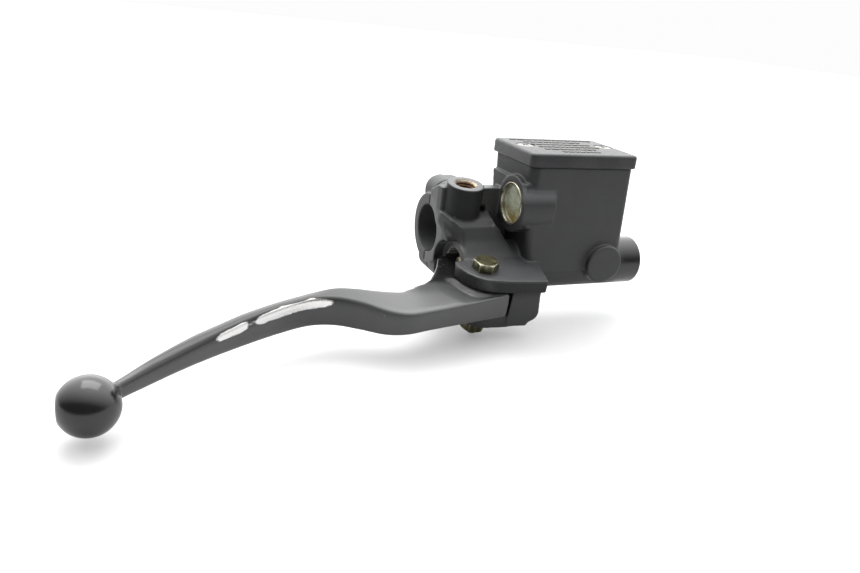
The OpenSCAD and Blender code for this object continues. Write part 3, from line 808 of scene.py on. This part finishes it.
def lid_marks():
    """Rows of plain raised bars on the lid."""
    low, high = box_mm("reservoir_cover")
    random = np.random.default_rng(7)
    bars = []
    for row, (start, end) in enumerate(BAR_ROWS):
        x, y = low.x + start, high.y - 4.6 - row * BAR_ROW_GAP
        end += low.x
        while x < end - 1.2:
            length = min(float(random.uniform(1.2, 4.2)), end - x)
            near, far = Vector((x, y - BAR_HALF_D, 0)), Vector((x + length, y + BAR_HALF_D, 0))
            bars.append(loft([
                box_ring(near, far, 0.0, 0.35, high.z - 0.1, 3),
                box_ring(near, far, 0.0, 0.35, high.z + BAR_H / 2, 3),
                box_ring(near, far, 0.14, 0.45, high.z + BAR_H, 3),
            ]))
            x += length + 0.7
    piece("lid_bars", smooth_shaded(joined(bars)), "body", LID_MARKS)


def screws():
    """Countersunk cross-head screws."""
    low, high = box_mm("cover_screws")
    meshes = []
    for x, turn in ((low.x + SCREW_HEAD_R, 20), (high.x - SCREW_HEAD_R, 65)):
        head = lathe([
            (2.0, -15.8), (2.0, -2.2), (3.85, -0.35), (3.95, -0.12), (3.6, 0.1), (2.4, 0.22), (0.8, 0.26),
        ], closed=False)
        slots = []
        for quarter in (0, 90):
            wedge = loft([
                [(-0.9, -0.3, -1.6), (0.9, -0.3, -1.6), (0.9, 0.3, -1.6), (-0.9, 0.3, -1.6)],
                [(-2.3, -0.55, 1), (2.3, -0.55, 1), (2.3, 0.55, 1), (-2.3, 0.55, 1)],
            ])
            slots.append(placed(wedge, Matrix.Rotation(math.radians(quarter + turn), 4, "Z")))
        head = cut(head, *slots)
        meshes.append(placed(head, Matrix.Translation((x, (low.y + high.y) / 2, high.z - 0.25))))
    mesh = smooth_shaded(joined(meshes))
    piece("lid_screws", mesh, "body", LID_SCREW_STEEL, ("cover_screws",))


# ---------- fasteners ----------

# Half the width across the flats of an M6 head or nut, and the slope of its turned chamfers
HEX_FLAT = 5.0
HEX_CHAMFER = math.radians(30)
SHANK_R = 2.98
EAR_TOP = 12.3
HEAD_H = 4.0
NUT_H = 5.5
CLAMP_BOLT_Z = 16.5


def hex_solid(low, high, bore=0.0, both=False):
    """Hexagon head or nut between two heights, with its corners turned off at the top or at both ends.
    The rim mask marks the edges that wear bright."""
    steps = 144
    points = []
    inner = max(bore, 0.6)
    for step in range(steps):
        angle = 2 * math.pi * step / steps
        sector = (angle + math.pi / 6) % (math.pi / 3) - math.pi / 6
        side = HEX_FLAT / math.cos(sector)
        drop = max(0.0, side - HEX_FLAT * 0.98) * math.tan(HEX_CHAMFER)
        lift = drop if both else 0
        profile = [
            (inner, low), (HEX_FLAT * 0.97, low), (side - 0.08, low + lift), (side, low + lift + 0.12),
            (side, low + lift + 0.62), (side, high - drop - 0.62), (side, high - drop - 0.12),
            (side - 0.08, high - drop), (HEX_FLAT * 0.97, high), (HEX_FLAT * 0.9, high),
            (HEX_FLAT * 0.8, high), (inner, high),
        ]
        for radius, height in profile:
            points.append((radius * math.cos(angle), radius * math.sin(angle), height))
    mesh = mesh_from("hexagon", points, turned_faces(len(profile), steps, closed=bore > 0))
    tidy_normals(mesh)
    x, y, z = coords(mesh).T
    reach = np.hypot(x, y)
    off_corner = np.abs(np.degrees(np.arctan2(y, x)) % 60 - 30)
    at_corner = smoothstep(2.6, 0.5, off_corner) * smoothstep(5.5, 5.7, reach)
    at_top = smoothstep(4.84, 4.9, reach) * smoothstep(high - 0.75, high - 0.6, z)
    set_mask(mesh, "rim", np.maximum(at_corner, at_top))
    return mesh


def threaded_rod(low, high):
    """Rod with thread grooves and chamfered ends."""
    pitch, core = 1.0, SHANK_R - 0.45
    profile = [(core - 0.2, low), (core, low + 0.3)]
    height = low + 0.5
    while height + pitch < high - 0.4:
        profile += [(SHANK_R, height + pitch * 0.35), (SHANK_R, height + pitch * 0.5)]
        height += pitch
        profile.append((core, height))
    profile += [(core, high - 0.2), (core - 0.25, high)]
    return lathe(profile, 72, closed=False)


def pivot_hardware():
    head = hex_solid(EAR_TOP + 0.02, EAR_TOP + HEAD_H)
    shank = lathe([(SHANK_R, -EAR_TOP - 0.2), (SHANK_R, EAR_TOP + 0.2)], closed=False)
    tip = threaded_rod(-EAR_TOP - NUT_H - 2, -EAR_TOP)
    bolt = joined([placed(head, Matrix.Rotation(math.radians(8), 4, "Z")), shank, tip])
    placed(smooth_shaded(bolt, HEX_ANGLE), LEVER_FRAME)
    piece("pivot_screw", bolt, "body", YELLOW_ZINC, ("pivot_bolt",))
    nut = hex_solid(-EAR_TOP - NUT_H, -EAR_TOP - 0.02, bore=3.05, both=True)
    placed(nut, Matrix.Rotation(math.radians(20), 4, "Z"))
    placed(smooth_shaded(nut, HEX_ANGLE), LEVER_FRAME)
    piece("pivot_locknut", nut, "body", YELLOW_ZINC, ("pivot_nut",))


def clamp_hardware():
    low, high = box_mm("clamp_bolts")
    wash_low, wash_high = box_mm("clamp_washers")
    reach = low.y - wash_high.y
    bolts, rings = [], []
    for z in (-CLAMP_BOLT_Z, CLAMP_BOLT_Z):
        head = hex_solid(0.02, high.y - wash_high.y)
        shank = lathe([(SHANK_R, reach + 6), (SHANK_R, 0.1)], closed=False)
        bolt = joined([head, shank, threaded_rod(reach, reach + 7)])
        bolts.append(placed(bolt, along((0, wash_high.y, z), (0, 1, 0))))
        ring = lathe([
            (3.22, 0.1), (3.4, 0), (5.65, 0), (5.8, 0.15),
            (5.8, 1.0), (5.65, 1.15), (3.4, 1.15), (3.22, 1.05),
        ])
        rings.append(placed(ring, along((0, wash_low.y + 0.02, z), (0, 1, 0))))
    bolts = smooth_shaded(joined(bolts), math.radians(28))
    piece("clamp_screws", bolts, "body", DULL_ZINC, ("clamp_bolts",))
    piece("clamp_rings", smooth_shaded(joined(rings)), "body", DULL_ZINC, ("clamp_washers",))


def mirror_thread():
    """Cut thread inside the mirror boss."""
    mount = mounts["mirror_thread"]
    length, radius = mount["dims"]["length_mm"], mount["dims"]["r_mm"]
    pitch, core = 1.25, radius - 0.75
    profile, height = [(radius - 0.02, -length / 2 + 0.5)], -length / 2 + 1
    while height < length / 2 - 1.4:
        profile += [(core, height + 0.15), (core, height + 0.4), (radius - 0.1, height + 1.0)]
        height += pitch
    profile += [(radius - 0.7, length / 2 - 0.9), (radius - 0.03, length / 2 - 0.1)]
    mesh = lathe(profile)
    placed(mesh, along(Vector(mount["pos_m"]) / MM, mount["axis"]))
    piece("mirror_thread_cut", smooth_shaded(mesh, math.radians(25)), "body", THREAD_METAL)


# ---------- sight glass ----------


def sight():
    low, high = box_mm("sight_ring")
    radius = (high.z - low.z) / 2
    centre = Vector((low.x, (low.y + high.y) / 2, (low.z + high.z) / 2))
    outward = along(centre, (-1, 0, 0))
    depth = high.x - low.x
    ring = lathe([
        (radius, -depth), (radius, -0.25), (radius - 0.12, -0.05), (radius - 0.4, 0.0),
        (radius - 0.7, -0.12), (radius - 1.0, -0.5), (radius - 1.0, -depth),
    ], 128)
    piece("sight_bezel", placed(ring, outward), "body", RING_METAL, ("sight_ring",))
    lens_low, lens_high = box_mm("sight_lens")
    lens_r = (lens_high.z - lens_low.z) / 2
    front = -(lens_low.x - low.x)
    rows, edge = 12, front - 0.15
    dome = [
        (lens_r * k / rows, edge + 0.75 * math.cos(math.pi / 2 * k / rows)) for k in range(rows, 0, -1)
    ]
    lens = lathe([(0.02, front - 0.9), (lens_r, front - 0.9)] + dome + [(0.02, front + 0.6)], closed=False)
    piece("sight_dome", placed(lens, outward), "body", SIGHT_GLASS, ("sight_lens",))
    disc = lathe([
        (0.02, front - 1.6), (lens_r, front - 1.6), (lens_r, front - 1.0), (6.0, front - 1.15),
        (0.02, front - 1.25),
    ], closed=False)
    piece("sight_float", placed(disc, outward), "body", SIGHT_BACK)


# ---------- dust boot and carried-over nodes ----------


def boot():
    low, high = box_mm("dust_boot")
    centre = Vector((low.x, (low.y + high.y) / 2, (low.z + high.z) / 2))
    outer = (high.z - low.z) / 2
    mesh = lathe([
        (4.15, 0.4), (4.3, 0.0), (5.0, 0.0), (5.5, 0.5), (5.2, 1.2), (6.0, 1.8), (7.0, 1.5), (7.6, 2.1),
        (outer, 2.6), (outer, 3.9), (7.0, 3.9), (6.8, 2.8), (5.2, 2.9), (4.15, 2.0),
    ])
    placed(mesh, along(centre, X_AXIS))
    piece("mouth_boot", mesh, "body", RUBBER, ("dust_boot",))


# Finishes of the CAD nodes that keep their own meshes
FINISHES = {
    "diaphragm_plate": WHITE_PLASTIC, "diaphragm": RUBBER, "port_baffle": WHITE_PLASTIC,
    "sight_seal": RUBBER, "lever_bush": BRASS, "piston": PISTON_ALLOY,
    "secondary_cup": RUBBER, "primary_cup": RUBBER, "spring_seat": DULL_ZINC,
    "return_spring": SPRING_STEEL, "stop_washer": SPRING_STEEL, "circlip": SPRING_STEEL,
}


def carried_over():
    """The inner CAD nodes stay as they are, with a finish each."""
    for name, material in FINISHES.items():
        data = nodes[name].data
        data.materials.clear()
        data.materials.append(material)


# ---------- studio ----------


def floor():
    size = 4000
    height = cad_box[0].z / MM - 0.3
    corners = ((-size, -size), (size, -size), (size, size), (-size, size))
    mesh = mesh_from("floor", [(x, y, height) for x, y in corners], [(0, 1, 2, 3)])
    obj = bpy.data.objects.new("floor", mesh)
    bpy.context.scene.collection.objects.link(obj)
    n = Nodes("floor_paper")
    blotches = n.ramp(n.noise(0.01, 3), 0.4, 0.6)
    n.feed("Base Color", n.mix(blotches, (0.50, 0.50, 0.505), (0.52, 0.52, 0.525)))
    n.feed("Roughness", 0.6)
    n.feed("Specular IOR Level", 0.2)
    # it looks lighter than the light that it throws back, so that its shadows stay faint
    n.feed("Emission Color", (1.0, 1.0, 1.0))
    seen = n.add("ShaderNodeLightPath").outputs["Is Camera Ray"]
    n.feed("Emission Strength", n.math("MULTIPLY", seen, 0.22))
    mesh.materials.append(n.material)


def area_light(name, place, target, size, power):
    data = bpy.data.lights.new(name, "AREA")
    data.shape = "RECTANGLE"
    data.size, data.size_y = size[0] * MM, size[1] * MM
    data.energy = power
    obj = bpy.data.objects.new(name, data)
    bpy.context.scene.collection.objects.link(obj)
    obj.location = Vector(place) * MM
    obj.rotation_mode = "QUATERNION"
    obj.rotation_quaternion = (Vector(target) - Vector(place)).to_track_quat("-Z", "Y")


# The room is brightest overhead and behind the object, and dim behind the camera
BRIGHT_SIDE = (0.26, 0.6, 0.73)


def studio():
    world = bpy.data.worlds.new("studio")
    world.use_nodes = True
    tree = world.node_tree
    background = tree.nodes["Background"]
    background.inputs["Color"].default_value = (1, 1, 1, 1)
    coordinates = tree.nodes.new("ShaderNodeTexCoord")
    toward = tree.nodes.new("ShaderNodeVectorMath")
    toward.operation = "DOT_PRODUCT"
    toward.inputs[1].default_value = BRIGHT_SIDE
    tree.links.new(coordinates.outputs["Generated"], toward.inputs[0])
    dim_to_bright = tree.nodes.new("ShaderNodeMapRange")
    dim_to_bright.inputs["From Min"].default_value = -0.1
    dim_to_bright.inputs["From Max"].default_value = 0.75
    dim_to_bright.inputs["To Min"].default_value = 0.15
    dim_to_bright.inputs["To Max"].default_value = 3.0
    tree.links.new(toward.outputs["Value"], dim_to_bright.inputs["Value"])
    path = tree.nodes.new("ShaderNodeLightPath")
    seen = tree.nodes.new("ShaderNodeMix")
    tree.links.new(path.outputs["Is Camera Ray"], seen.inputs["Factor"])
    tree.links.new(dim_to_bright.outputs["Result"], seen.inputs["A"])
    seen.inputs["B"].default_value = 0.98
    tree.links.new(seen.outputs["Result"], background.inputs["Strength"])
    bpy.context.scene.world = world
    area_light("overhead", (50, 350, 900), (0, 0, 0), (900, 700), 7)
    bpy.context.scene.view_settings.view_transform = "Standard"


# Where the camera stands and looks, its roll and its lens
CAMERA_AT = (-141.0, -296.4, 95.6)
CAMERA_LOOK = (0.3865, 0.8493, -0.3596)
CAMERA_ROLL = math.radians(6.2)
CAMERA_LENS = 30.14


def camera():
    look = Vector(CAMERA_LOOK).normalized()
    level = look.cross(Vector((0, 0, 1))).normalized()
    right = level * math.cos(CAMERA_ROLL) + level.cross(look) * math.sin(CAMERA_ROLL)
    up = right.cross(look)
    data = bpy.data.cameras.new("camera")
    data.lens = CAMERA_LENS
    data.sensor_width = 36
    obj = bpy.data.objects.new("camera", data)
    bpy.context.scene.collection.objects.link(obj)
    turn = Matrix((right, up, -look)).transposed().to_4x4()
    obj.matrix_world = Matrix.Translation(Vector(CAMERA_AT) * MM) @ turn
    bpy.context.scene.camera = obj


carried_over()
casting()
cap_casting()
lever()
lid()
lid_marks()
screws()
pivot_hardware()
clamp_hardware()
mirror_thread()
sight()
boot()
floor()
studio()
camera()
